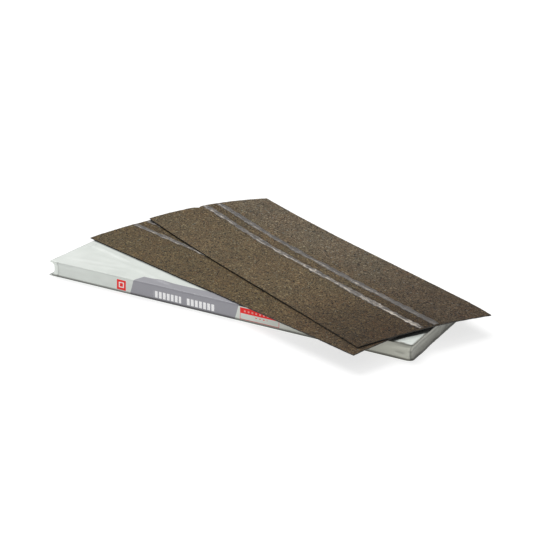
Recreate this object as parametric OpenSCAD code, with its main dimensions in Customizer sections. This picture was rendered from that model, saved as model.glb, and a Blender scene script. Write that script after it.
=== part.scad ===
// A film-wrapped bundle of asphalt shingles, with two loose starter sheets lying fanned out on top of it.
// Each loose sheet is two strips joined along a perforated line, with a band of sealant on each side of it.
// Frame: the origin is the centre of the bundle's underside, +X runs along the bundle, +Z is up. Millimetres.

/* [Shingle sheet] */
// Length of every sheet
sheet_l = 1000; // [800:5:1200]
// Width of a loose sheet, which is two strips wide
sheet_w = 394; // [340:2:480]
// Thickness of a sheet with its granules
sheet_t = 2.5; // [2:0.1:3.5]

/* [Perforated line] */
// Distance from the lower sheet's front edge to its perforated line
lower_line = 179; // [160:1:215]
// Distance from the upper sheet's front edge to its perforated line
upper_line = 209; // [160:1:215]
// Number of slits between the two strips of a sheet
slit_count = 20; // [12:1:26]
// Material left between two slits
slit_tie = 8; // [4:1:12]
// Width of a slit
slit_w = 0.8; // [0.5:0.1:1.5]

/* [Sealant] */
// Width of a band of sealant
sealant_w = 18; // [6:1:20]
// Height of a band of sealant above the granules
sealant_h = 0.8; // [0.5:0.1:1.5]
// Distance from the perforated line to the middle of a band
sealant_offset = 22.5; // [16:0.5:32]

/* [Wrapped stack] */
// Width of the shingles inside the film
stack_w = 320; // [300:1:400]
// Number of sheets inside the film
stack_count = 16; // [8:1:20]
// Air between two stacked sheets
stack_gap = 0.1; // [0.05:0.05:0.3]

/* [Film wrapper] */
// Thickness of the film
film_t = 0.4; // [0.3:0.1:0.8]
// Slack between the stack and the film at each end
end_slack = 7; // [3:0.5:12]
// Slack between the stack and the film along each side
side_slack = 3.5; // [2:0.5:8]
// Radius of the film over the long edges
edge_r = 3.5; // [2:0.5:6]
// Radius of the film round the upright corners
corner_r = 12; // [5:1:16]
// Depth of the tuck in each end of the film
tuck_depth = 5; // [2:0.5:6]

/* [Loose sheets] */
// Turn of the lower loose sheet
lower_turn = -18.4; // [-24:0.2:-14]
// Turn of the upper loose sheet
upper_turn = -28.5; // [-34:0.2:-24]
// Rise of the lower sheet's crown at its free end
lower_crown = 8; // [2:0.5:10]
// Rise of the upper sheet's crown at its free end
upper_crown = 11; // [4:0.5:14]
// Lift of the whole free end of the upper sheet
upper_lift = 9.8; // [6:0.2:14]
// Rise of both crowns at the end that overhangs the bundle
far_crown = 4.5; // [1:0.5:6]
// Length over which a crown dies away
crown_run = 450; // [300:10:480]
// Drop of a sheet 100 mm beyond the front of the bundle
front_drop = 1; // [0:0.5:5]
// Drop of a sheet 100 mm beyond the end of the bundle
end_drop = 5; // [0:0.5:6]
// Depth of the nick in the upper sheet's free end
nick_depth = 8; // [3:0.5:12]

/* [Hidden] */

arc_fn = 64;
overrun = 1;      // how far a cutting shape runs past what it cuts
rest_gap = 0.3;   // air left under a loose sheet
drop_span = 100;  // overhang at which front_drop and end_drop are reached

stack_h = stack_count * sheet_t + (stack_count - 1) * stack_gap;
wrap_l = sheet_l + 2 * (end_slack + film_t);
wrap_w = stack_w + 2 * (side_slack + film_t);
wrap_h = stack_h + 2 * (stack_gap + film_t);

// The film is no rounder than the square corners of the stack inside it allow
film_edge_r = min(edge_r, side_slack + film_t);
film_corner_r = min(corner_r, film_t + end_slack + side_slack + sqrt(2 * end_slack * side_slack));

// Where a loose sheet's first corner lies, and how far the sheet is turned about it
lower_pose = [[-wrap_l / 2 - 22.5, -wrap_w / 2 + 196.2], lower_turn];
upper_pose = [[-wrap_l / 2 + 41, -wrap_w / 2 + 390.3], upper_turn];

// ---- Grid of a loose sheet: u runs along the sheet and v across it ----

middle = sheet_w / 2;
slit_pitch = sheet_l / slit_count;
nick_w = 28;                          // width of the nick's mouth
nick_run = slit_pitch - slit_tie / 2; // distance over which the nick fades into straight grid lines
nick_away = 22;                       // distance from the nick's middle to the first band of sealant

stations = concat(
    [0],
    [for (k = [0 : slit_count - 1]) for (side = [0, 1])
        k * slit_pitch + (side == 0 ? slit_tie / 2 : slit_pitch - slit_tie / 2)],
    [sheet_l]
);
// The grid lines along a sheet whose perforated line lies at the distance cut from its front edge
function lines(cut) = let (
    band_start = cut - sealant_offset - sealant_w / 2,
    band_end = cut + sealant_offset + sealant_w / 2,
    nick_v = band_start - nick_away
) concat(
    [for (k = [0 : 2]) k / 3 * (nick_v - nick_w / 2)],
    [nick_v - nick_w / 2, nick_v, nick_v + nick_w / 2],
    [band_start, band_start + sealant_w],
    [cut - slit_w / 2, cut + slit_w / 2],
    [band_end - sealant_w, band_end],
    [for (k = [1 : 4]) band_end + k / 4 * (sheet_w - band_end)]
);
station_n = len(stations);
line_n = len(lines(middle));
nick_line = 4;
first_sealant_line = 6;
slit_line = 8;
second_sealant_line = 10;
lower_lines = lines(lower_line);
upper_lines = lines(upper_line);
lower_sealant_edges = [
    for (first = [first_sealant_line, second_sealant_line]) for (k = [0, 1]) lower_lines[first + k]
];

// A slit fills every second cell between the two grid lines beside the perforated line.
function is_slit(i, j) = j == slit_line && i % 2 == 1;
function is_sheet(i, j) =
    i >= 0 && i < station_n - 1 && j >= 0 && j < line_n - 1 && !is_slit(i, j);

// ---- Shape of a loose sheet ----

function plan(pose, u, v) = pose[0] + [
    u * cos(pose[1]) - v * sin(pose[1]),
    u * sin(pose[1]) + v * cos(pose[1])
];
function local(pose, p) = let (d = p - pose[0]) [
    d.x * cos(pose[1]) + d.y * sin(pose[1]),
    d.y * cos(pose[1]) - d.x * sin(pose[1])
];
function near_start(u) = pow(max(0, 1 - u / crown_run), 2);
function near_end(u) = near_start(sheet_l - u);
function crown(v) = max(0, 1 - pow(v / middle - 1, 2));

// rise = [lift of the free end, crown at the free end]
function own_rise(rise, u, v) =
    rise[0] * near_start(u) + crown(v) * (rise[1] * near_start(u) + far_crown * near_end(u));
function overhang_drop(p) =
    front_drop * pow(max(0, -p.y - wrap_w / 2) / drop_span, 2)
    + end_drop * pow(max(0, p.x - wrap_l / 2) / drop_span, 2);
function nicked(u, j, depth) = j == nick_line ? u + depth * max(0, 1 - u / nick_run) : u;

function on_sheet(q) = q.x >= 0 && q.x <= sheet_l && q.y >= 0 && q.y <= sheet_w;

lower_rise = [0, lower_crown];
upper_rise = [upper_lift, upper_crown];

// The upper sheet comes down until the lower sheet or its sealant carries it, whichever it meets first.
seat = max(concat(
    [for (u = stations) for (v = upper_lines)
        let (q = local(lower_pose, plan(upper_pose, u, v)))
        if (on_sheet(q)) own_rise(lower_rise, q.x, q.y) - own_rise(upper_rise, u, v)],
    [for (u = stations) for (v = lower_sealant_edges)
        let (q = local(upper_pose, plan(lower_pose, u, v)))
        if (on_sheet(q)) own_rise(lower_rise, u, v) + sealant_h - own_rise(upper_rise, q.x, q.y)]
));
lower_z = wrap_h + rest_gap;
upper_z = lower_z + sheet_t + rest_gap + seat;

function surface_point(pose, rise, z, depth, across, i, j) =
    let (
        u = nicked(stations[i], j, depth),
        v = across[j],
        p = plan(pose, u, v)
    )
    [p.x, p.y, z + own_rise(rise, u, v) - overhang_drop(p)];

// A closed slab over the kept cells of the grid, with a wall wherever a kept cell has no kept neighbour.
// across holds the grid lines along the sheet, and depth is how deep the nick in its free end is.
module slab(pose, rise, z, thickness, depth, across, i_range, j_range, slitted) {
    ni = i_range[1] - i_range[0] + 1;
    nj = j_range[1] - j_range[0] + 1;
    function at(i, j, top) = (top ? ni * nj : 0) + (i - i_range[0]) * nj + (j - j_range[0]);
    function kept(i, j) =
        i >= i_range[0] && i < i_range[1] && j >= j_range[0] && j < j_range[1]
        && (!slitted || is_sheet(i, j));
    points = [
        for (lift = [0, thickness]) for (i = [i_range[0] : i_range[1]]) for (j = [j_range[0] : j_range[1]])
            surface_point(pose, rise, z, depth, across, i, j) + [0, 0, lift]
    ];
    // a wall stands on the edge from grid point a to grid point b, seen with the slab on its left
    function wall(a, b) = [
        [at(a[0], a[1], false), at(b[0], b[1], true), at(b[0], b[1], false)],
        [at(a[0], a[1], false), at(a[0], a[1], true), at(b[0], b[1], true)]
    ];
    faces = [
        for (i = [i_range[0] : i_range[1] - 1]) for (j = [j_range[0] : j_range[1] - 1])
            if (kept(i, j))
                each concat(
                    [[at(i, j, true), at(i, j + 1, true), at(i + 1, j + 1, true)],
                     [at(i, j, true), at(i + 1, j + 1, true), at(i + 1, j, true)],
                     [at(i, j, false), at(i + 1, j + 1, false), at(i, j + 1, false)],
                     [at(i, j, false), at(i + 1, j, false), at(i + 1, j + 1, false)]],
                    kept(i, j - 1) ? [] : wall([i, j], [i + 1, j]),
                    kept(i + 1, j) ? [] : wall([i + 1, j], [i + 1, j + 1]),
                    kept(i, j + 1) ? [] : wall([i + 1, j + 1], [i, j + 1]),
                    kept(i - 1, j) ? [] : wall([i, j + 1], [i, j])
                )
    ];
    polyhedron(points = points, faces = faces, convexity = 4);
}

module loose_sheet(pose, rise, z, depth, across) {
    slab(pose, rise, z, sheet_t, depth, across, [0, station_n - 1], [0, line_n - 1], true);
}

// Two bands of sealant lie on the granules, one each side of the slits, and stop short of the sheet's ends.
module sealant_bands(pose, rise, z, across) {
    for (j = [first_sealant_line, second_sealant_line])
        slab(pose, rise, z + sheet_t, sealant_h, 0, across, [1, station_n - 2], [j, j + 1], false);
}

// ---- Film wrapper ----

module rounded_rectangle(l, w, r) {
    square([l - 2 * r, w], center = true);
    square([l, w - 2 * r], center = true);
    for (x = [-1, 1]) for (y = [-1, 1])
        translate([x * (l / 2 - r), y * (w / 2 - r)]) circle(r, $fn = arc_fn);
}

// A block with round long edges, round upright corners and a hollow tuck along each end.
module pillow(l, w, h, edge, corner, tuck_r, tuck_x) {
    difference() {
        intersection() {
            rotate([90, 0, 90])
                translate([0, 0, -l / 2]) linear_extrude(l) rounded_rectangle(w, h, edge);
            translate([0, 0, -h]) linear_extrude(2 * h) rounded_rectangle(l, w, corner);
        }
        for (x = [-1, 1])
            translate([x * tuck_x, 0, 0]) rotate([90, 0, 0])
                cylinder(r = tuck_r, h = w + 2 * overrun, center = true, $fn = arc_fn);
    }
}

module wrapper() {
    tuck_half = wrap_h / 2 - film_edge_r;
    tuck_r = (pow(tuck_half, 2) + pow(tuck_depth, 2)) / (2 * tuck_depth);
    tuck_x = wrap_l / 2 + tuck_r - tuck_depth;
    color("whitesmoke") translate([0, 0, wrap_h / 2]) difference() {
        pillow(wrap_l, wrap_w, wrap_h, film_edge_r, film_corner_r, tuck_r, tuck_x);
        pillow(wrap_l - 2 * film_t, wrap_w - 2 * film_t, wrap_h - 2 * film_t,
            film_edge_r - film_t, film_corner_r - film_t, tuck_r + film_t, tuck_x);
    }
}

module wrapped_shingles() {
    color("#5d5344")
        for (k = [0 : stack_count - 1])
            translate([-sheet_l / 2, -stack_w / 2, film_t + stack_gap + k * (sheet_t + stack_gap)])
                cube([sheet_l, stack_w, sheet_t]);
}

// ---- Loose sheets ----

module lower_shingle() {
    color("#6a5e4c") loose_sheet(lower_pose, lower_rise, lower_z, 0, lower_lines);
}

module lower_sealant() {
    color("#77716c") sealant_bands(lower_pose, lower_rise, lower_z, lower_lines);
}

module upper_shingle() {
    color("#665a49") loose_sheet(upper_pose, upper_rise, upper_z, nick_depth, upper_lines);
}

module upper_sealant() {
    color("#8a8480") sealant_bands(upper_pose, upper_rise, upper_z, upper_lines);
}

wrapper();
wrapped_shingles();
lower_shingle();
lower_sealant();
upper_shingle();
upper_sealant();
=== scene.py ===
"""Looks for a film-wrapped bundle of asphalt shingles with two loose starter sheets fanned out on top."""

import math

import bpy
import numpy as np
from mathutils import Matrix, Vector


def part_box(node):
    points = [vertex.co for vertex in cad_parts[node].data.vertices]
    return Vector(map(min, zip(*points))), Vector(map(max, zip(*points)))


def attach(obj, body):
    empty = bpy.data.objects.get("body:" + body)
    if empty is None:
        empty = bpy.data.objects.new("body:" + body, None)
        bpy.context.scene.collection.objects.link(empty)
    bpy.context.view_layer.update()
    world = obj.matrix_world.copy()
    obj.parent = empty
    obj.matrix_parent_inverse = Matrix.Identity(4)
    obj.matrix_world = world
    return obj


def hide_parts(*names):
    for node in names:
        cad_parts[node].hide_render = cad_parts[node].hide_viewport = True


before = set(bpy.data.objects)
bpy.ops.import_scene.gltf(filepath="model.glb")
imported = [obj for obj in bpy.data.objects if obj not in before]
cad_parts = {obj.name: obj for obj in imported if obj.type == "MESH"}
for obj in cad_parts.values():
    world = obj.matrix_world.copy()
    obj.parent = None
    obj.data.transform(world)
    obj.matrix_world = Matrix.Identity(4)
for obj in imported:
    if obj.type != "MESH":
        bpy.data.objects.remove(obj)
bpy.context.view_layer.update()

MM = 0.001

# ------------------------------------------------ sizes shared with the CAD part, in millimetres

SHEET_L, SHEET_W, SHEET_T = 1000.0, 394.0, 2.5
MIDDLE = SHEET_W / 2
SLIT_COUNT, SLIT_TIE, SLIT_W = 20, 8.0, 0.8
SEAL_W, SEAL_H, SEAL_OFFSET = 18.0, 0.8, 22.5
WRAP_L, WRAP_W, WRAP_H = 1014.8, 327.8, 42.5
CROWN_RUN, FAR_CROWN = 450.0, 4.5
FRONT_DROP, END_DROP, DROP_SPAN = 1.0, 5.0, 100.0
NICK_AWAY, NICK_W, NICK_DEPTH, NICK_RUN = 22.0, 28.0, 8.0, 46.0
LOWER = dict(corner=(-529.9, 32.3), turn=-18.4, lift=0.0, crown=8.0, line=179.0)
UPPER = dict(corner=(-466.4, 226.4), turn=-28.5, lift=9.8, crown=11.0, line=209.0)

# ------------------------------------------------ sizes of the looks

EDGE_R, CORNER_R = 4.0, 12.0
# where V starts on the film's faces other than the front, in millimetres
BACK_V, UNDERSIDE_V, RIGHT_V, LEFT_V = 600, 700, 1200, 1300
# the print on the film: the corners of each rectangle in the UV plane, in metres
BAND, BAND_LEAN = ((-0.262, -0.02), (0.045, 0.0765)), 0.27
BLOCKS = (((-0.190, 0.0095), (-0.108, 0.0275)), ((-0.094, 0.0095), (-0.012, 0.0275)))
BLOCK_PITCH, BLOCK_SHARE = 0.0118, 0.68
BADGE, BADGE_RING = ((-0.302, 0.008), (-0.274, 0.035)), ((-0.296, 0.014), (-0.280, 0.029))
BADGE_CORE = ((-0.293, 0.0165), (-0.283, 0.0265))
TAG_BAR = ((0.060, 0.0225), (0.170, 0.0375))
TAG_BOX, TAG_BOX_INSIDE = ((0.060, 0.0065), (0.168, 0.0225)), ((0.0612, 0.0077), (0.1668, 0.0225))
TAG_TICKS, TAG_DASHES = ((0.066, 0.0265), (0.164, 0.0315)), ((0.096, 0.0165), (0.136, 0.0190))
TICK_PITCH, TICK_SHARE = 0.0105, 0.45
# the crest's place across each band of sealant, the brightness of its smear, and that of the painted
# highlight along its crest
SEALANT_BANDS = ((-0.55, 0.40, 0.62), (-0.35, 0.25, 0.52))
# the floor, in metres
FLOOR_HALF, FLOOR_LINES = 30.0, 24


def node_top(name):
    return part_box(name)[1].z / MM


# ------------------------------------------------ small maths helpers

def smoothstep(a, b, x):
    t = np.clip((x - a) / (b - a), 0, 1)
    return t * t * (3 - 2 * t)


def value_noise(x, y, cell, seed):
    """Smooth noise from -1 to 1 with features about one cell wide."""
    table = np.random.RandomState(seed).uniform(-1, 1, (256, 256))
    gx, gy = np.asarray(x, float) / cell, np.asarray(y, float) / cell
    ix, iy = np.floor(gx).astype(int), np.floor(gy).astype(int)
    fx, fy = gx - ix, gy - iy
    fx, fy = fx * fx * (3 - 2 * fx), fy * fy * (3 - 2 * fy)
    a, b = table[ix % 256, iy % 256], table[(ix + 1) % 256, iy % 256]
    c, d = table[ix % 256, (iy + 1) % 256], table[(ix + 1) % 256, (iy + 1) % 256]
    return (a * (1 - fx) + b * fx) * (1 - fy) + (c * (1 - fx) + d * fx) * fy


def crease(x, y, p, q, height, width, skew=0.0):
    """A ridge along the line from p to q that dies away at both ends; skew makes one flank steeper."""
    px, py, qx, qy = *p, *q
    length = math.hypot(qx - px, qy - py)
    tx, ty = (qx - px) / length, (qy - py) / length
    along = ((x - px) * tx + (y - py) * ty) / length
    side = (x - px) * -ty + (y - py) * tx
    w = np.where(side > 0, width * (1 + skew), width * (1 - skew))
    taper = np.clip(1 - (2 * along - 1) ** 2, 0, 1) ** 0.7
    return height * taper * np.exp(-(side / w) ** 2)


# ------------------------------------------------ node helpers

class Nodes:
    """Builds a material's node tree with short calls."""

    def __init__(self, name):
        self.material = bpy.data.materials.new(name)
        self.material.use_nodes = True
        self.tree = self.material.node_tree
        self.tree.nodes.clear()
        self.out = self.add("ShaderNodeOutputMaterial")
        self.shader = self.add("ShaderNodeBsdfPrincipled")
        self.link(self.shader.outputs[0], self.out.inputs["Surface"])

    def add(self, kind, **settings):
        node = self.tree.nodes.new(kind)
        for key, value in settings.items():
            setattr(node, key, value)
        return node

    def link(self, a, b):
        self.tree.links.new(a, b)

    def feed(self, socket, value):
        if isinstance(value, bpy.types.NodeSocket):
            self.link(value, socket)
        else:
            socket.default_value = value

    def maths(self, operation, a, b=0.0, clamp=False):
        node = self.add("ShaderNodeMath", operation=operation, use_clamp=clamp)
        for socket, value in zip(node.inputs, (a, b)):
            self.feed(socket, value)
        return node.outputs[0]

    def mix(self, factor, a, b, blend="MIX"):
        node = self.add("ShaderNodeMix", data_type="RGBA", blend_type=blend)
        self.feed(node.inputs[0], factor)
        self.feed(node.inputs[6], a)
        self.feed(node.inputs[7], b)
        return node.outputs[2]

    def ramp(self, factor, stops, interpolation="LINEAR"):
        node = self.add("ShaderNodeValToRGB")
        node.color_ramp.interpolation = interpolation
        elements = node.color_ramp.elements
        while len(elements) < len(stops):
            elements.new(0.5)
        for element, (place, colour) in zip(elements, stops):
            element.position = place
            element.color = colour
        self.feed(node.inputs[0], factor)
        return node.outputs[0]

    def uv(self):
        node = self.add("ShaderNodeUVMap")
        node.uv_map = "UVMap"
        return node.outputs[0]

    def stretch(self, vector, scale):
        node = self.add("ShaderNodeVectorMath", operation="MULTIPLY")
        self.feed(node.inputs[0], vector)
        node.inputs[1].default_value = scale
        return node.outputs[0]

    def noise(self, vector, scale, detail=2.0, roughness=0.5):
        node = self.add("ShaderNodeTexNoise")
        self.feed(node.inputs["Vector"], vector)
        node.inputs["Scale"].default_value = scale
        node.inputs["Detail"].default_value = detail
        node.inputs["Roughness"].default_value = roughness
        return node

    def cells(self, vector, scale):
        node = self.add("ShaderNodeTexVoronoi", feature="F1")
        self.feed(node.inputs["Vector"], vector)
        node.inputs["Scale"].default_value = scale
        return node

    def bump(self, height, strength, distance, under=None):
        node = self.add("ShaderNodeBump")
        self.feed(node.inputs["Height"], height)
        node.inputs["Strength"].default_value = strength
        node.inputs["Distance"].default_value = distance
        if under is not None:
            self.link(under, node.inputs["Normal"])
        return node.outputs[0]

    def grey(self, factor, low, high):
        return self.ramp(factor, [(0.0, (low, low, low, 1)), (1.0, (high, high, high, 1))])

    def rectangle(self, u, v, low, high, soft=0.0004):
        """1 inside the rectangle from low to high in the UV plane, 0 outside, with a fine soft edge."""
        inside = None
        for value, a, b in ((u, low[0], high[0]), (v, low[1], high[1])):
            half, centre = (b - a) / 2, (a + b) / 2
            off = self.maths("ABSOLUTE", self.maths("SUBTRACT", value, centre))
            edge = self.maths("DIVIDE", self.maths("SUBTRACT", half, off), soft, clamp=True)
            inside = edge if inside is None else self.maths("MULTIPLY", inside, edge)
        return inside


# ------------------------------------------------ materials

GRANULE_COLOURS = [
    (0.00, (0.020, 0.016, 0.012, 1)),
    (0.14, (0.060, 0.046, 0.033, 1)),
    (0.34, (0.105, 0.080, 0.053, 1)),
    (0.56, (0.150, 0.118, 0.078, 1)),
    (0.72, (0.190, 0.150, 0.100, 1)),
    (0.84, (0.150, 0.090, 0.055, 1)),
    (0.90, (0.280, 0.235, 0.165, 1)),
    (0.97, (0.200, 0.205, 0.190, 1)),
]


def granule_material():
    n = Nodes("mineral_granules")
    uv = n.uv()
    warped = n.add("ShaderNodeVectorMath", operation="ADD")
    n.link(uv, warped.inputs[0])
    shift = n.noise(uv, 700.0, 1.0)
    n.link(n.stretch(shift.outputs["Color"], (0.0009, 0.0009, 0.0)), warped.inputs[1])
    fine = n.cells(warped.outputs[0], 620.0)
    coarse = n.cells(warped.outputs[0], 270.0)
    pick_fine = n.add("ShaderNodeSeparateColor")
    n.link(fine.outputs["Color"], pick_fine.inputs[0])
    pick_coarse = n.add("ShaderNodeSeparateColor")
    n.link(coarse.outputs["Color"], pick_coarse.inputs[0])
    fine_colour = n.ramp(pick_fine.outputs[0], GRANULE_COLOURS, "CONSTANT")
    coarse_colour = n.ramp(pick_coarse.outputs[0], GRANULE_COLOURS, "CONSTANT")
    share = n.maths("GREATER_THAN", pick_coarse.outputs[1], 0.58)
    colour = n.mix(share, fine_colour, coarse_colour)
    clump = n.noise(uv, 95.0, 3.0, 0.65)
    colour = n.mix(1.0, colour, n.grey(clump.outputs["Fac"], 0.72, 1.28), "MULTIPLY")
    broad = n.noise(uv, 7.0, 2.0)
    tint = n.ramp(broad.outputs["Fac"], [
        (0.3, (0.95, 0.98, 0.95, 1)),
        (0.7, (1.09, 1.01, 0.92, 1)),
    ])
    colour = n.mix(1.0, colour, tint, "MULTIPLY")
    # the tone attribute carries each sheet's tone, painted shade and sheen included, and on the lower sheet a
    # painted shadow
    tone = n.add("ShaderNodeAttribute", attribute_name="tone")
    colour = n.mix(1.0, colour, tone.outputs["Color"], "MULTIPLY")
    n.link(colour, n.shader.inputs["Base Color"])
    n.link(n.grey(pick_fine.outputs[1], 0.55, 0.95), n.shader.inputs["Roughness"])
    n.shader.inputs["Specular IOR Level"].default_value = 0.18
    relief = n.maths("SUBTRACT", 1.0, fine.outputs["Distance"])
    first = n.bump(relief, 0.8, 0.0006)
    n.link(n.bump(clump.outputs["Fac"], 0.5, 0.0012, first), n.shader.inputs["Normal"])
    return n.material


def asphalt_material(name, has_uv):
    n = Nodes(name)
    uv = n.uv() if has_uv else n.add("ShaderNodeTexCoord").outputs["Object"]
    dust = n.noise(uv, 900.0, 3.0, 0.7)
    patch = n.noise(uv, 22.0, 3.0, 0.6)
    colour = n.ramp(dust.outputs["Fac"], [
        (0.30, (0.010, 0.009, 0.008, 1)),
        (0.55, (0.028, 0.025, 0.022, 1)),
        (0.75, (0.070, 0.064, 0.056, 1)),
    ])
    colour = n.mix(1.0, colour, n.grey(patch.outputs["Fac"], 0.6, 1.4), "MULTIPLY")
    n.link(colour, n.shader.inputs["Base Color"])
    n.link(n.grey(patch.outputs["Fac"], 0.6, 0.85), n.shader.inputs["Roughness"])
    n.link(n.bump(dust.outputs["Fac"], 0.6, 0.0005), n.shader.inputs["Normal"])
    return n.material


def sealant_material():
    n = Nodes("sealant")
    uv = n.uv()
    streak = n.noise(n.stretch(uv, (30.0, 520.0, 1.0)), 1.0, 3.0, 0.6)
    fine = n.noise(n.stretch(uv, (190.0, 1100.0, 1.0)), 1.0, 2.0, 0.6)
    # the tone attribute carries each band's brightness, with its painted highlight along the crest
    tone = n.add("ShaderNodeAttribute", attribute_name="tone")
    mixed = n.maths("ADD", n.maths("MULTIPLY", streak.outputs["Fac"], 1.1),
                    n.maths("MULTIPLY", fine.outputs["Fac"], 0.9))
    bright = n.maths("MULTIPLY", mixed, tone.outputs["Fac"])
    speck = n.cells(uv, 430.0)
    pick = n.add("ShaderNodeSeparateColor")
    n.link(speck.outputs["Color"], pick.inputs[0])
    bright = n.maths("MULTIPLY", bright, n.grey(pick.outputs[0], 0.55, 1.30))
    colour = n.ramp(bright, [
        (0.10, (0.050, 0.042, 0.036, 1)),
        (0.30, (0.114, 0.098, 0.086, 1)),
        (0.55, (0.200, 0.174, 0.148, 1)),
        (1.00, (0.590, 0.520, 0.440, 1)),
    ])
    n.link(colour, n.shader.inputs["Base Color"])
    n.link(n.grey(streak.outputs["Fac"], 0.20, 0.55), n.shader.inputs["Roughness"])
    n.shader.inputs["Specular IOR Level"].default_value = 0.4
    n.link(n.bump(mixed, 0.6, 0.0008), n.shader.inputs["Normal"])
    return n.material


def film_material():
    """White printed film. U runs along the bundle; V runs up the front face and on over the top.

    The other faces have their V further on, clear of the print.
    """
    n = Nodes("printed_film")
    uv = n.uv()
    parts = n.add("ShaderNodeSeparateXYZ")
    n.link(uv, parts.inputs[0])
    u, v = parts.outputs[0], parts.outputs[1]
    spot = n.add("ShaderNodeTexCoord").outputs["Object"]
    cloud = n.noise(spot, 9.0, 3.0, 0.55)
    base = n.ramp(cloud.outputs["Fac"], [
        (0.3, (0.750, 0.795, 0.745, 1)),
        (0.7, (0.805, 0.845, 0.800, 1)),
    ])
    # the tone attribute carries film_tone: greyer sides and ends, partly painted shade, and painted shadow
    # under the sheets
    tone = n.add("ShaderNodeAttribute", attribute_name="tone")
    base = n.mix(1.0, base, tone.outputs["Color"], "MULTIPLY")

    lean = n.maths("MULTIPLY", v, BAND_LEAN)
    band = n.rectangle(n.maths("SUBTRACT", u, lean), v, *BAND)
    print_grey = n.mix(band, base, (0.335, 0.332, 0.362, 1))

    def teeth(pitch, share):
        """1 over a share of each pitch along U, 0 over the rest."""
        place = n.maths("FRACT", n.maths("DIVIDE", n.maths("ADD", u, 1.0), pitch))
        return n.maths("LESS_THAN", place, share)

    white = n.maths("MAXIMUM", *[n.rectangle(u, v, *block) for block in BLOCKS])
    white = n.maths("MULTIPLY", white, teeth(BLOCK_PITCH, BLOCK_SHARE))
    printed = n.mix(white, print_grey, (0.98, 0.98, 0.98, 1))

    red = (0.86, 0.010, 0.008, 1)
    printed = n.mix(n.rectangle(u, v, *BADGE), printed, red)
    outside_core = n.maths("SUBTRACT", 1.0, n.rectangle(u, v, *BADGE_CORE))
    ring = n.maths("MULTIPLY", n.rectangle(u, v, *BADGE_RING), outside_core)
    printed = n.mix(ring, printed, (0.95, 0.90, 0.88, 1))
    outline = n.maths("SUBTRACT", n.rectangle(u, v, *TAG_BOX), n.rectangle(u, v, *TAG_BOX_INSIDE), clamp=True)
    tick = teeth(TICK_PITCH, TICK_SHARE)
    ticks = n.maths("MULTIPLY", n.rectangle(u, v, *TAG_TICKS), tick)
    dashes = n.maths("MULTIPLY", n.rectangle(u, v, *TAG_DASHES), tick)
    printed = n.mix(n.rectangle(u, v, *TAG_BAR), printed, red)
    printed = n.mix(n.maths("MULTIPLY", ticks, 0.55), printed, (0.90, 0.55, 0.50, 1))
    printed = n.mix(n.maths("MAXIMUM", outline, dashes), printed, red)

    # painted contact shadow: a dark line along the bottom edge, fainter on the lip of the left end and absent
    # from the underside
    place = n.add("ShaderNodeSeparateXYZ")
    n.link(spot, place.inputs[0])
    low = n.maths("DIVIDE", place.outputs[2], 0.010, clamp=True)
    shade = n.ramp(low, [
        (0.42, (0.23, 0.225, 0.22, 1)),
        (0.60, (0.46, 0.45, 0.44, 1)),
        (0.88, (1, 1, 1, 1)),
    ])
    past_end = n.maths("SUBTRACT", -WRAP_L / 2 * MM, place.outputs[0])
    on_lip = n.maths("DIVIDE", past_end, 0.004, clamp=True)
    shade = n.mix(n.maths("MULTIPLY", on_lip, 0.8), shade, (0.9, 0.9, 0.9, 1))
    underside = n.rectangle(u, v, (-1.0, (UNDERSIDE_V - 5) * MM), (1.0, (RIGHT_V - 100) * MM))
    shade = n.mix(underside, shade, (1, 1, 1, 1))
    printed = n.mix(1.0, printed, shade, "MULTIPLY")
    n.link(printed, n.shader.inputs["Base Color"])

    micro = n.noise(n.stretch(spot, (40.0, 130.0, 130.0)), 1.0, 4.0, 0.6)
    n.link(n.grey(cloud.outputs["Fac"], 0.30, 0.48), n.shader.inputs["Roughness"])
    n.shader.inputs["Specular IOR Level"].default_value = 0.32
    n.shader.inputs["Coat Weight"].default_value = 0.06
    n.shader.inputs["Coat Roughness"].default_value = 0.25
    n.link(n.bump(micro.outputs["Fac"], 0.25, 0.0012), n.shader.inputs["Normal"])
    return n.material


def floor_material():
    n = Nodes("pale_floor")
    spot = n.add("ShaderNodeTexCoord").outputs["Object"]
    speck = n.noise(spot, 3.0, 2.0)
    n.link(n.grey(speck.outputs["Fac"], 0.44, 0.46), n.shader.inputs["Base Color"])
    n.shader.inputs["Roughness"].default_value = 0.9
    n.shader.inputs["Specular IOR Level"].default_value = 0.1
    n.shader.inputs["Emission Color"].default_value = (1, 1, 1, 1)
    n.shader.inputs["Emission Strength"].default_value = 0.70
    return n.material


granules, asphalt = granule_material(), asphalt_material("asphalt_back", True)
sealant, film = sealant_material(), film_material()


# ------------------------------------------------ mesh helpers

def make_piece(name, points, quads, uvs, tones, materials, material_index):
    """Makes a smooth mesh object from points in millimetres.

    uvs are one per corner of a face, and tones one grey level or one colour factor per point.
    """
    mesh = bpy.data.meshes.new(name)
    mesh.from_pydata((points * MM).tolist(), [], quads.tolist())
    layer = mesh.uv_layers.new(name="UVMap")
    layer.data.foreach_set("uv", np.asarray(uvs, np.float32).ravel())
    tones = np.asarray(tones, float)
    if tones.ndim == 1:
        tones = np.repeat(tones[:, None], 3, axis=1)
    colour = mesh.color_attributes.new("tone", "FLOAT_COLOR", "POINT")
    rgba = np.hstack([tones, np.ones((len(tones), 1))])
    colour.data.foreach_set("color", rgba.astype(np.float32).ravel())
    for material in materials:
        mesh.materials.append(material)
    mesh.polygons.foreach_set("material_index", np.asarray(material_index, np.int32))
    mesh.polygons.foreach_set("use_smooth", np.full(len(quads), True))
    mesh.update()
    made = bpy.data.objects.new(name, mesh)
    bpy.context.scene.collection.objects.link(made)
    return made


def soften(piece, angle):
    """Splits shading at edges sharper than angle, so that a sheet's rim stays crisp."""
    piece.data.set_sharp_from_angle(angle=math.radians(angle))


# ------------------------------------------------ loose sheets

def near_start(u):
    return np.clip(1 - u / CROWN_RUN, 0, None) ** 2


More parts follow.
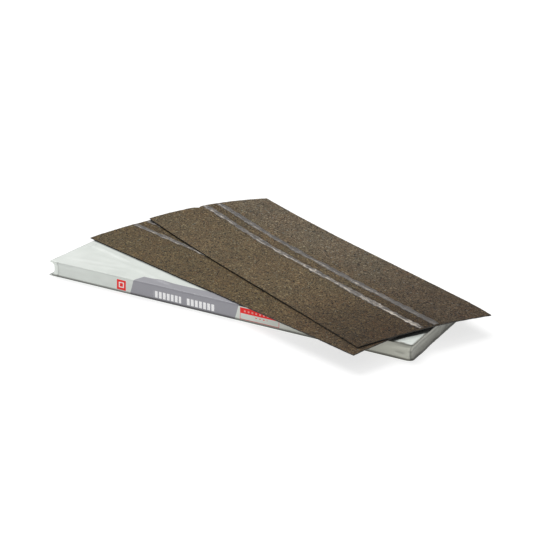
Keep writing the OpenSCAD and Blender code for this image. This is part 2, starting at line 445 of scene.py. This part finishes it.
def crown(v):
    return np.clip(1 - (v / MIDDLE - 1) ** 2, 0, None)


def plan(sheet, u, v):
    a = math.radians(sheet["turn"])
    x = sheet["corner"][0] + u * math.cos(a) - v * math.sin(a)
    y = sheet["corner"][1] + u * math.sin(a) + v * math.cos(a)
    return x, y


def own_rise(sheet, u, v):
    start, end = near_start(u), near_start(SHEET_L - u)
    return sheet["lift"] * start + crown(v) * (sheet["crown"] * start + FAR_CROWN * end)


def overhang_drop(x, y):
    over_front = np.clip(-y - WRAP_W / 2, 0, None) / DROP_SPAN
    over_end = np.clip(x - WRAP_L / 2, 0, None) / DROP_SPAN
    return FRONT_DROP * over_front ** 2 + END_DROP * over_end ** 2


def sheet_level(name, sheet):
    """Height of a flat part of the sheet's underside, worked out from the CAD node's highest point."""
    u, v = np.meshgrid(np.linspace(0, SHEET_L, 401), np.linspace(0, SHEET_W, 159), indexing="ij")
    x, y = plan(sheet, u, v)
    return node_top(name) - SHEET_T - (own_rise(sheet, u, v) - overhang_drop(x, y)).max()


LOWER["z"] = sheet_level("lower_shingle", LOWER)
UPPER["z"] = sheet_level("upper_shingle", UPPER)


def sheet_surface(sheet, u, v):
    x, y = plan(sheet, u, v)
    return x, y, sheet["z"] + own_rise(sheet, u, v) - overhang_drop(x, y)


def spread(cuts, step):
    """Places between the cuts, about one step apart, with every cut kept."""
    places = []
    for a, b in zip(cuts[:-1], cuts[1:]):
        count = max(1, round((b - a) / step))
        places += [a + (b - a) * k / count for k in range(count)]
    return np.array(places + [cuts[-1]])


def build_sheet(name, node, sheet, seed, nick, tone_of):
    pitch = SHEET_L / SLIT_COUNT
    slit_ends = [k * pitch + s for k in range(SLIT_COUNT) for s in (SLIT_TIE / 2, pitch - SLIT_TIE / 2)]
    us = spread([0.0] + slit_ends + [SHEET_L], 3.1)
    vs = spread([0.0, sheet["line"] - SLIT_W / 2, sheet["line"] + SLIT_W / 2, SHEET_W], 3.1)
    nu, nv = len(us), len(vs)
    u, v = np.meshgrid(us, vs, indexing="ij")
    rng = np.random.RandomState(seed)

    # ragged rim, and granules that stand a little proud
    rim_u = value_noise(v, 0 * v, 7.0, seed + 1) * 0.5 + value_noise(v, 0 * v, 34.0, seed + 2) * 0.7
    rim_v = value_noise(u, 0 * u, 8.0, seed + 3) * 0.4 + value_noise(u, 0 * u, 60.0, seed + 4) * 0.5
    reach_u = np.exp(-u / 9.0) + np.exp(-(SHEET_L - u) / 9.0)
    reach_v = np.exp(-v / 9.0) + np.exp(-(SHEET_W - v) / 9.0)
    uu, vv = u + rim_u * reach_u, v + rim_v * reach_v
    if nick:
        nick_v = sheet["line"] - SEAL_OFFSET - SEAL_W / 2 - NICK_AWAY
        mouth = np.clip(1 - np.abs(v - nick_v) / (NICK_W / 2), 0, 1)
        uu = uu + NICK_DEPTH * mouth * np.clip(1 - u / NICK_RUN, 0, 1)
    x, y, z = sheet_surface(sheet, uu, vv)
    wave = value_noise(u, v, 150.0, seed + 5) * 0.5 + value_noise(u, v, 60.0, seed + 6) * 0.2
    edge_fade = smoothstep(0, 40, np.minimum(np.minimum(u, SHEET_L - u), np.minimum(v, SHEET_W - v)))
    z = z + np.clip(wave, 0, None) * 0.5 * edge_fade
    rough = rng.uniform(-0.16, 0.16, u.shape)
    top = np.stack([x, y, z + SHEET_T + rough], -1).reshape(-1, 3)
    under = np.stack([x, y, z + 0.05 * rng.uniform(-1, 1, u.shape)], -1).reshape(-1, 3)
    points = np.vstack([top, under])

    index = np.arange(nu * nv).reshape(nu, nv)
    below = index + nu * nv
    kept = np.ones((nu - 1, nv - 1), bool)
    slit_j = int(np.searchsorted(vs, sheet["line"] - SLIT_W / 2 + 1e-6)) - 1
    centres = (us[:-1] + us[1:]) / 2
    in_slit = np.abs((centres % pitch) - pitch / 2) < pitch / 2 - SLIT_TIE / 2
    kept[in_slit, slit_j] = False
    a, b, c, d = index[:-1, :-1], index[1:, :-1], index[1:, 1:], index[:-1, 1:]
    upper = np.stack([a, b, c, d], -1)[kept]
    a, b, c, d = below[:-1, :-1], below[:-1, 1:], below[1:, 1:], below[1:, :-1]
    lower = np.stack([a, b, c, d], -1)[kept]
    walls = []
    padded = np.zeros((nu + 1, nv + 1), bool)
    padded[1:-1, 1:-1] = kept
    for i, j in np.argwhere(kept):
        if not padded[i + 1, j]:
            walls.append((below[i, j], below[i + 1, j], index[i + 1, j], index[i, j]))
        if not padded[i + 2, j + 1]:
            walls.append((below[i + 1, j], below[i + 1, j + 1], index[i + 1, j + 1], index[i + 1, j]))
        if not padded[i + 1, j + 2]:
            walls.append((below[i + 1, j + 1], below[i, j + 1], index[i, j + 1], index[i + 1, j + 1]))
        if not padded[i, j + 1]:
            walls.append((below[i, j + 1], below[i, j], index[i, j], index[i, j + 1]))
    walls = np.array(walls)
    quads = np.vstack([upper, lower, walls])
    flat_uv = np.stack([u, v], -1).reshape(-1, 2) * MM
    point_uv = np.vstack([flat_uv, flat_uv + [0.0, 0.5]])
    uvs = point_uv[quads]
    wall_start = len(upper) + len(lower)
    uvs[wall_start:, :2] = uvs[wall_start:, 2:][:, ::-1] + [0.0, SHEET_T * MM]
    tones = np.concatenate([tone_of(u, v, x, y).reshape(-1, 3), np.ones((nu * nv, 3))])
    index_of = np.concatenate([np.zeros(len(upper)), np.ones(len(lower) + len(walls))])
    piece = make_piece(name, points, quads, uvs.reshape(-1, 2), tones, [granules, asphalt], index_of)
    soften(piece, 50)
    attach(piece, "root")
    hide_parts(node)
    return piece


def sheet_tone(line, near, far, seed):
    """Colour factors over a sheet: near and far are those at its free end and at its far end.

    A sheet darkens towards its far end with painted shade, and does so sooner beyond the perforated line,
    where a cooler, lighter tint stands for painted sheen. Every tone is called with places along and across
    the sheet and in plan; this one needs only the first two.
    """
    def tone(u, v, x, y):
        # painted shade: darker towards the far end, sooner beyond the perforated line
        beyond = smoothstep(line - 10, line + 90, v)
        t = smoothstep(560, SHEET_L, u) * (1 - beyond) + 0.86 * smoothstep(330, SHEET_L, u) * beyond
        mix = np.array(near) * (1 - t[..., None]) + np.array(far) * t[..., None]
        # painted sheen: a cooler, lighter tint beyond the perforated line
        mix = mix * (1 + beyond[..., None] * (np.array([1.10, 1.18, 1.45]) - 1))
        blotch = 1 + 0.05 * value_noise(u, v, 90.0, seed) + 0.03 * value_noise(u, v, 30.0, seed + 1)
        off = np.abs(v - line)
        # darker lines along the edges of the sealant bands
        inner = np.exp(-((off - 10.5) / 2.6) ** 2)
        outer = np.exp(-((off - 34.5) / 3.0) ** 2) * (v < line)
        dip = 1 - 0.40 * inner - 0.30 * outer
        return mix * (blotch * dip)[..., None]
    return tone


def shaded_beyond(tone, sheet, reach):
    """Paints the shadow of the sheet that lies above onto a tone, close beyond its far short end."""
    def shaded(u, v, x, y):
        a = math.radians(sheet["turn"])
        dx, dy = x - sheet["corner"][0], y - sheet["corner"][1]
        beyond = dx * math.cos(a) + dy * math.sin(a) - SHEET_L
        across = dy * math.cos(a) - dx * math.sin(a)
        shade = np.exp(-(np.clip(beyond, 0, None) / reach) ** 2) * smoothstep(-2, 2, across)
        return tone(u, v, x, y) * (1 - 0.8 * shade)[..., None]
    return shaded


LOWER_TONE = sheet_tone(LOWER["line"], (0.940, 0.855, 0.610), (0.73, 0.61, 0.48), 71)
UPPER_TONE = sheet_tone(UPPER["line"], (1.060, 0.985, 0.775), (0.465, 0.380, 0.280), 83)
LOWER_TONE = shaded_beyond(LOWER_TONE, UPPER, 5.0)
build_sheet("lower_loose_shingle", "lower_shingle", LOWER, 11, False, LOWER_TONE)
build_sheet("upper_loose_shingle", "upper_shingle", UPPER, 23, True, UPPER_TONE)


# ------------------------------------------------ sealant bands

def build_sealant(name, node, sheet, seed):
    """Two uneven, patchy bands: a raised crest towards the front of each, with a painted highlight along it,
    and a flatter smear behind it.
    """
    points, quads, uvs, tones = [], [], [], []
    us = np.arange(5.0, SHEET_L - 4.0, 2.0)
    ts = np.linspace(-1, 1, 17)
    for band, side in enumerate((-1, 1)):
        s = seed + 10 * band
        u, t = np.meshgrid(us, ts, indexing="ij")
        wander = value_noise(u, 0 * u, 110.0, s) * 1.2 + value_noise(u, 0 * u, 19.0, s + 1) * 0.9
        bend = -6.0 * np.clip(1 - u / 190.0, 0, 1) ** 2
        half = SEAL_W / 2 * (0.94 + 0.20 * value_noise(u, 0 * u, 40.0, s + 2)
                             + 0.22 * value_noise(u, 0 * u, 11.0, s + 3))
        v = sheet["line"] + side * SEAL_OFFSET + wander + bend + half * t
        x, y, z = sheet_surface(sheet, u, v)
        crest, plateau, crest_highlight = SEALANT_BANDS[band]
        ridge = np.exp(-((t - crest - 0.12 * value_noise(u, 0 * u, 25.0, s + 7)) / 0.24) ** 2)
        second = np.exp(-((t - 0.55) / 0.22) ** 2) * (0.5 + 0.5 * value_noise(u, 0 * u, 33.0, s + 8))
        smear = smoothstep(1.0, 0.72, np.abs(t))
        uneven = 0.30 + 0.22 * value_noise(u, v, 12.0, s + 4)
        raised = 0.55 + 0.25 * value_noise(u, t, 20.0, s + 5)
        lift = SEAL_H * np.clip(smear * (uneven + raised * ridge + 0.2 * second), 0.0, 1.0)
        rim = np.abs(t) > 0.99
        top = np.stack([x, y, z + SHEET_T + np.where(rim, -0.15, 0.18 + lift)], -1).reshape(-1, 3)
        under = np.stack([x, y, z + SHEET_T - 0.3], -1).reshape(-1, 3)
        n, m = u.shape
        start = sum(len(p) for p in points)
        index = np.arange(n * m).reshape(n, m) + start
        below = index + n * m
        points += [top, under]
        upper = np.stack([index[:-1, :-1], index[1:, :-1], index[1:, 1:], index[:-1, 1:]], -1)
        lower = np.stack([below[:-1, :-1], below[:-1, 1:], below[1:, 1:], below[1:, :-1]], -1)
        faces = [upper.reshape(-1, 4),
                 lower.reshape(-1, 4),
                 np.stack([below[:-1, 0], below[1:, 0], index[1:, 0], index[:-1, 0]], -1),
                 np.stack([below[1:, -1], below[:-1, -1], index[:-1, -1], index[1:, -1]], -1),
                 np.stack([below[0, 1:], below[0, :-1], index[0, :-1], index[0, 1:]], -1),
                 np.stack([below[-1, :-1], below[-1, 1:], index[-1, 1:], index[-1, :-1]], -1)]
        quads.append(np.vstack(faces))
        along = 0.80 + 0.30 * smoothstep(200, 420, u) + 0.12 * smoothstep(760, 900, u)
        if band == 1:
            along = 0.92 - 0.34 * np.exp(-((u - 300) / 60) ** 2) - 0.40 * smoothstep(790, 880, u)
        # painted highlight: a bright broken line along each band's crest
        line = np.exp(-((t - crest - 0.10 * value_noise(u, 0 * u, 30.0, s + 11)) / 0.26) ** 2)
        broken = (0.78 + 0.62 * value_noise(u, 0 * u, 34.0, s + 13)
                  + 0.70 * value_noise(u, 0 * u, 12.0, s + 14))
        streaks = (0.85 + 0.80 * value_noise(u, t * 20, 22.0, s + 15)
                   + 0.80 * value_noise(u, t * 18, 9.0, s + 16))
        patchy = 1 + 0.25 * value_noise(u, t * 9, 6.0, s + 10)
        bright = plateau * smear * np.clip(streaks, 0.1, 2.0) + crest_highlight * line * np.clip(broken, 0.0, 1.5)
        bright = np.clip(bright * along * patchy, 0.12, 1.6)
        tones += [bright.ravel(), bright.ravel()]
        uvs += [np.stack([u, v], -1).reshape(-1, 2) * MM] * 2
    points, quads = np.vstack(points), np.vstack(quads)
    uvs, tones = np.vstack(uvs), np.concatenate(tones)
    corner_uvs = uvs[quads].reshape(-1, 2)
    piece = make_piece(name, points, quads, corner_uvs, tones, [sealant], np.zeros(len(quads)))
    soften(piece, 60)
    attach(piece, "root")
    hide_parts(node)
    return piece


build_sealant("lower_sealant_bands", "lower_sealant", LOWER, 131)
build_sealant("upper_sealant_bands", "upper_sealant", UPPER, 177)


# ------------------------------------------------ film wrapper

def under_sheets(x, y, margin):
    """1 where a loose sheet lies over the film, fading to 0 within the margin outside its outline."""
    cover = np.zeros_like(x)
    for sheet in (LOWER, UPPER):
        a = math.radians(sheet["turn"])
        dx, dy = x - sheet["corner"][0], y - sheet["corner"][1]
        u, v = dx * math.cos(a) + dy * math.sin(a), dy * math.cos(a) - dx * math.sin(a)
        inside = np.minimum(np.minimum(u, SHEET_L - u), np.minimum(v, SHEET_W - v))
        cover = np.maximum(cover, smoothstep(-margin, 0, inside))
    return cover


def film_lattice():
    """Places of the film's grid lines along x, y and z, closer together near the bundle's edges."""
    def axis(half, step, fine, reach):
        edge = np.arange(0, reach, fine)
        inner = np.linspace(reach, half, max(2, round((half - reach) / step)))
        side = np.concatenate([edge, inner])
        return np.concatenate([-half + side, (half - side[::-1])[1:]])
    return (axis(WRAP_L / 2, 4.4, 1.6, 27.0),
            axis(WRAP_W / 2, 4.4, 1.5, 15.0),
            axis(WRAP_H / 2, 1.8, 1.0, 6.0))


def build_wrapper():
    xs, ys, zs = film_lattice()
    nx, ny, nz = len(xs), len(ys), len(zs)
    index = -np.ones((nx, ny, nz), int)
    shell = np.zeros((nx, ny, nz), bool)
    shell[[0, -1]] = True
    shell[:, [0, -1]] = True
    shell[:, :, [0, -1]] = True
    index[shell] = np.arange(shell.sum())
    gx, gy, gz = (g[shell] for g in np.meshgrid(xs, ys, zs, indexing="ij"))

    hx, hy, hz = WRAP_L / 2, WRAP_W / 2, WRAP_H / 2
    ring = np.minimum(hx - np.abs(gx), hy - np.abs(gy))
    fall = hz - np.abs(gz)
    on_flat = fall < 1e-6
    angle = np.where(on_flat,
                     (1 - np.clip(ring / EDGE_R, 0, 1)) * math.pi / 4,
                     math.pi / 2 - (1 - np.clip(fall / EDGE_R, 0, 1)) * math.pi / 4)
    inset = EDGE_R * (1 - np.sin(angle))
    inset = np.where(on_flat, np.clip(inset - ring, 0, None), inset)
    drop = np.where(on_flat | (fall < EDGE_R), EDGE_R * (1 - np.cos(angle)), fall)
    x, y = gx * (1 - inset / hx), gy * (1 - inset / hy)
    z = np.sign(gz) * (hz - drop) + hz

    # round the upright corners, less at the lips of the left end and at the top of the right end
    rim = np.maximum(np.exp(-(z / 7.0) ** 2), np.exp(-((WRAP_H - z) / 7.0) ** 2))
    corner_r = CORNER_R - np.where(gx < 0, 8.0 * rim, 5.0 * rim * (z > hz) - 3.0 * rim * (z < hz))
    cx, cy = hx - corner_r, hy - corner_r
    ox, oy = np.abs(x) - cx, np.abs(y) - cy
    corner = (ox > 0) & (oy > 0)
    far = np.hypot(np.where(corner, ox, 1), np.where(corner, oy, 0))
    pull = np.where(corner, np.maximum(ox, oy) / far, 1)
    x = np.where(corner, np.sign(x) * (cx + ox * pull), x)
    y = np.where(corner, np.sign(y) * (cy + oy * pull), y)

    points = np.stack([x, y, z], -1)
    points = shape_film(points, gx, gy, gz)

    quads, uvs = [], []
    def face(grid, flip, uv_of):
        a, b, c, d = grid[:-1, :-1], grid[1:, :-1], grid[1:, 1:], grid[:-1, 1:]
        q = np.stack([a, d, c, b] if flip else [a, b, c, d], -1).reshape(-1, 4)
        quads.append(q)
        uvs.append(np.stack([gx[q], uv_of(q)], -1))
    face(index[:, 0, :], False, lambda q: gz[q] + hz)
    face(index[:, -1, :], True, lambda q: BACK_V + gz[q] + hz)
    face(index[:, :, -1], False, lambda q: WRAP_H + gy[q] + hy)
    face(index[:, :, 0], True, lambda q: UNDERSIDE_V + gy[q] + hy)
    face(index[-1, :, :], False, lambda q: RIGHT_V + gz[q] + hz)
    face(index[0, :, :], True, lambda q: LEFT_V + gz[q] + hz)
    quads, uvs = np.vstack(quads), np.vstack(uvs) * MM
    tones = film_tone(points, gx, gy)
    corner_uvs = uvs.reshape(-1, 2)
    piece = make_piece("film_wrapper", points, quads, corner_uvs, tones, [film], np.zeros(len(quads)))
    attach(piece, "root")
    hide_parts("wrapper")
    return piece


def fold_height(y):
    """Height of the end fold, as a share of the bundle's height."""
    return 0.56 + 0.05 * value_noise(y, 0 * y, 45.0, 320)


def pleat_noise(x, z):
    return value_noise(x * 0.20, z, 6.0, 307)


def shape_film(points, gx, gy, gz):
    x, y, z = points.T.copy()
    hx, hy, hz = WRAP_L / 2, WRAP_W / 2, WRAP_H / 2
    zn = z / WRAP_H
    top = smoothstep(0.75, 1.0, (gz / hz + 1) / 2)
    cover = under_sheets(x, y, 9.0)

    # ends: the film is drawn in to a fold at mid-height, with a lip above and a wider one below
    end_in = np.exp(-(hx - np.abs(gx)) / 12.0)
    fold = np.clip(1 - np.abs(zn - fold_height(y)) / 0.42, 0, 1)
    foot = np.exp(-(zn / 0.16) ** 2)
    ear = np.exp(-((zn - 0.95) / 0.12) ** 2)
    ripple = 0.7 * value_noise(y, z * 3, 26.0, 301) + 0.4 * value_noise(y, z * 4, 9.0, 302)
    mid_end = smoothstep(hy - 4, hy - 24, np.abs(gy))
    foot_out, ear_out = np.where(gx < 0, 14.0, 3.0), np.where(gx < 0, 8.5, 2.5)
    out = -(2.0 + 3.6 * mid_end) * fold + foot_out * foot + ear_out * ear
    x = x + np.sign(gx) * end_in * np.clip(out + ripple * (0.4 + 0.6 * mid_end), -5.0, 15.0)

    # soft slack on top, only where no sheet presses on it
    slack = np.zeros_like(x)
    for p, q, height, width, skew in TOP_CREASES:
        slack += crease(x, y, p, q, height, width, skew)
    slack += 0.35 * value_noise(x, y, 55.0, 303) + 0.22 * value_noise(x, y, 21.0, 304)
    slack += 1.1 * smoothstep(420, 480, x) * value_noise(x, y, 9.0, 312)
    slack = np.where(slack > 0, slack * (1 - cover), slack * 0.3)
    z = np.where(gz > 0, z + top * slack, z)

    # sides: slight bulge, fine ripples, pleats that run in from both ends, and a groove near the left end
    side = np.clip(1 - (2 * zn - 1) ** 2, 0, 1)
    front_in = np.exp(-(hy - np.abs(gy)) / 8.0)
    swell = 0.5 * value_noise(x, z * 2, 70.0, 305) + 0.25 * value_noise(x, z * 4, 24.0, 306)
    inward = hx - np.abs(gx)
    near_end = np.exp(-inward / 70.0) * smoothstep(0, 14, inward)
    pleats = np.where(gx < 0, 1.2, 2.6) * near_end * pleat_noise(x, z)
    dip = -1.8 * np.exp(-((inward - 18.0) / 3.2) ** 2) * (gx < 0)
    y = y + np.sign(gy) * front_in * side * (swell + pleats + dip)
    return np.stack([x, y, np.clip(z, 0.0, None)], -1)


# from, to, height, width and skew of each crease in the film's top, all in millimetres but the skew
TOP_CREASES = [
    ((-500, -8), (-330, -62), 3.2, 6.0, 0.5),
    ((-500, -40), (-480, 20), 2.4, 5.0, 0.2),
    ((-460, -60), (-250, -98), 1.6, 11.0, -0.4),
    ((-500, -120), (-330, -100), 1.4, 9.0, 0.3),
    ((-440, -142), (-300, -118), 1.1, 7.0, 0.3),
    ((-300, -92), (-130, -150), 1.2, 7.0, 0.3),
    ((-215, -128), (-150, -136), 1.5, 5.0, -0.2),
    ((-505, 60), (-480, 150), 1.8, 8.0, -0.2),
    ((462, -168), (512, -74), 4.4, 4.5, 0.3),
    ((478, -166), (512, -120), 2.4, 4.0, -0.3),
    ((500, 40), (430, 120), 1.6, 9.0, 0.3),
    ((60, 158), (240, 120), 1.4, 10.0, -0.3),
    ((250, 155), (470, 110), 1.5, 12.0, 0.3),
]


def film_tone(points, gx, gy):
    """Greyer on the sides and ends: painted shade that deepens towards the right, partly also film lying
    tight on the dark stack; painted shadow under the sheets.
    """
    x, y, z = points.T
    hx, hy = WRAP_L / 2, WRAP_W / 2
    zn = z / WRAP_H
    inward = hx - np.abs(gx)
    end = smoothstep(3.0, 0.0, inward)
    side = smoothstep(3.0, 0.0, hy - np.abs(gy)) * (1 - end)
    # painted shade: the sides and ends greyer, more so towards the right; on the ends partly the film lying
    # tight on the dark stack
    right = smoothstep(-60, 430, x)
    grey = 1 - side * (0.05 + 0.27 * right) - end * (0.30 + 0.22 * right)
    # painted highlight: a lighter strip on the sides close to the left end
    painted_light_strip = smoothstep(20.0, 17.0, inward) * side
    grey = grey * (1 + 0.17 * painted_light_strip * (1 - right))
    # painted shade in the groove of the sides near the left end
    grey = grey * (1 - 0.30 * side * (1 - right) * np.exp(-((inward - 19.0) / 2.4) ** 2))
    # painted shade in the end fold, and the ends darker below it
    fold = np.exp(-((zn - fold_height(y)) / 0.07) ** 2)
    grey = grey * (1 - end * (0.42 * fold + 0.34 * smoothstep(0.55, 0.25, zn)))
    # painted shade along the top edge of the sides and ends, towards the right
    rim = np.exp(-((WRAP_H - z - 1.5) / 2.2) ** 2) * smoothstep(260, 430, x)
    grey = grey * (1 - 0.40 * rim * smoothstep(5.0, 1.0, np.minimum(inward, hy - np.abs(gy))))
    # painted shade in the pleats of the sides near the ends
    pleat = smoothstep(0.2, 0.8, pleat_noise(x, z)) * smoothstep(80, 8, inward) * (0.3 + 0.7 * right)
    grey = grey * (1 - 0.34 * pleat * side)
    # painted shade down the upright corners, towards the right
    corner = np.exp(-(inward / 3.5) ** 2) * smoothstep(4.0, 0.0, hy - np.abs(gy)) * right
    grey = grey * (1 - 0.35 * corner)
    # painted shadow on the top under the loose sheets
    grey = grey * (1 - 0.85 * under_sheets(x, y, 7.0) * (z > WRAP_H - 3.0))
    grey = grey * (1 + 0.03 * value_noise(x, y + z * 3, 30.0, 311))
    warm = np.maximum(side, end) * right
    return np.stack([grey * (1 + 0.02 * warm), grey * (1 - 0.03 * warm), grey * (1 - 0.11 * warm)], -1)


build_wrapper()
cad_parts["wrapped_shingles"].data.materials.clear()
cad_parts["wrapped_shingles"].data.materials.append(asphalt_material("asphalt_stack", False))


# ------------------------------------------------ floor, light and camera

def build_floor():
    grid = np.linspace(-FLOOR_HALF, FLOOR_HALF, FLOOR_LINES)
    x, y = np.meshgrid(grid, grid, indexing="ij")
    points = np.stack([x, y, 0 * x], -1).reshape(-1, 3) / MM
    index = np.arange(FLOOR_LINES ** 2).reshape(FLOOR_LINES, FLOOR_LINES)
    quads = np.stack([index[:-1, :-1], index[1:, :-1], index[1:, 1:], index[:-1, 1:]], -1).reshape(-1, 4)
    uvs = points[quads][..., :2].reshape(-1, 2) * MM
    tones = np.ones(len(points))
    floor = make_piece("floor", points, quads, uvs, tones, [floor_material()], np.zeros(len(quads)))


def add_sun(direction, angle, strength):
    """A soft far light; direction points from the object towards it."""
    lamp = bpy.data.lights.new("sun", "SUN")
    lamp.angle, lamp.energy = math.radians(angle), strength
    made = bpy.data.objects.new("sun", lamp)
    bpy.context.scene.collection.objects.link(made)
    made.rotation_euler = Vector(direction).to_track_quat("Z", "Y").to_euler()


def add_camera():
    """A long lens about 3.3 m away, 28.6 degrees to the right of the bundle's front and 20.6 degrees up."""
    azimuth, elevation, roll = (math.radians(a) for a in (28.61, 20.59, 1.39))
    back = np.array([math.sin(azimuth) * math.cos(elevation),
                     -math.cos(azimuth) * math.cos(elevation),
                     math.sin(elevation)])
    right = np.cross(-back, [0, 0, 1])
    right /= np.linalg.norm(right)
    up = np.cross(right, -back)
    right, up = (math.cos(roll) * right + math.sin(roll) * up,
                 -math.sin(roll) * right + math.cos(roll) * up)
    target = np.array([-0.0076, 0.0360, 0.025])
    aside, above, distance = 0.03409, 0.02826, 3.25298
    place = target + aside * right + above * up + distance * back
    data = bpy.data.cameras.new("camera")
    data.lens, data.sensor_width = 84.72, 36.0
    camera = bpy.data.objects.new("camera", data)
    bpy.context.scene.collection.objects.link(camera)
    turn = np.stack([right, up, back], 1)
    rows = [[*turn[k], place[k]] for k in range(3)]
    camera.matrix_world = Matrix(rows + [[0, 0, 0, 1]])
    bpy.context.scene.camera = camera


build_floor()
add_sun(direction=(-0.50, 0.32, 0.80), angle=50, strength=1.9)
world = bpy.data.worlds.new("soft_white")
bpy.context.scene.world = world
world.use_nodes = True
world.node_tree.nodes["Background"].inputs["Color"].default_value = (1, 1, 1, 1)
world.node_tree.nodes["Background"].inputs["Strength"].default_value = 0.45
bpy.context.scene.view_settings.view_transform = "Standard"
add_camera()
